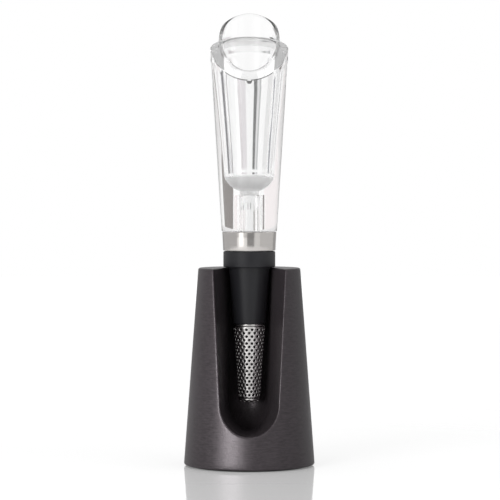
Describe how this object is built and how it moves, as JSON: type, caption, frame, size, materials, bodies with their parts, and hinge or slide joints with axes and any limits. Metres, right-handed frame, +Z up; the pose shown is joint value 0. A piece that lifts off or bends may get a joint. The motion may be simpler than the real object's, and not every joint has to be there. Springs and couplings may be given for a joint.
{
  "type": "wine aerator pourer",
  "caption": "Clear wine aerator pourer with a slanted lip, steel ring, black bottle stopper and perforated strainer, resting in a dark conical drip stand with an open front channel.",
  "frame": {"origin": "centre of the stand's round underside, on the surface it stands on", "axes": "+Z up along the pourer's axis; -Y is the front, where the stand's channel opens and the pouring lip is lowest; +X is to the right seen from the front"},
  "size_m": [0.0654, 0.0654, 0.2271],
  "materials": {
    "stand_lacquer": "satin anthracite lacquer with fine turned lines",
    "ballast_steel": "turned",
    "base_plate_black": "matt black",
    "screw_zinc": "zinc plated",
    "pad_rubber": "matt",
    "stopper_silicone": "satin",
    "core_plastic": "matt",
    "seal_silicone": "matt translucent",
    "ring_steel": "finely brushed round the axis",
    "strainer_steel": "bright perforated sheet",
    "clear_acrylic": "polished, clear"
  },
  "bodies": {
    "stand": {"stand_shell": "stand_lacquer", "stand_ballast": "ballast_steel", "stand_base_plate": "base_plate_black", "base_screw_1": "screw_zinc", "base_screw_2": "screw_zinc", "base_screw_3": "screw_zinc", "stand_foot_pad": "pad_rubber"},
    "stopper": {"stopper_sleeve": "stopper_silicone", "stopper_core": "core_plastic", "nozzle_washer": "seal_silicone"},
    "ring": {"steel_ring": "ring_steel"},
    "spout": {"spout_body": "clear_acrylic", "nozzle_tube": "clear_acrylic", "spout_seal": "seal_silicone"},
    "strainer": {"strainer_collar": "strainer_steel", "strainer_basket": "strainer_steel", "strainer_end_cap": "strainer_steel"}
  },
  "joints": [
    {"name": "pourer_lift", "type": "slide", "parent": "stand", "child": "stopper", "axis": [0, 0, 1], "range_m": [0, 0.07]},
    {"name": "spout_turn", "type": "hinge", "parent": "stopper", "child": "ring", "pos_m": [0, 0, 0.1123], "axis": [0, 0, 1], "continuous": true},
    {"name": "spout_pull", "type": "slide", "parent": "ring", "child": "spout", "axis": [0, 0, 1], "range_m": [0, 0.014]},
    {"name": "strainer_pull", "type": "slide", "parent": "stopper", "child": "strainer", "axis": [0, 0, -1], "range_m": [0, 0.012]}
  ]
}
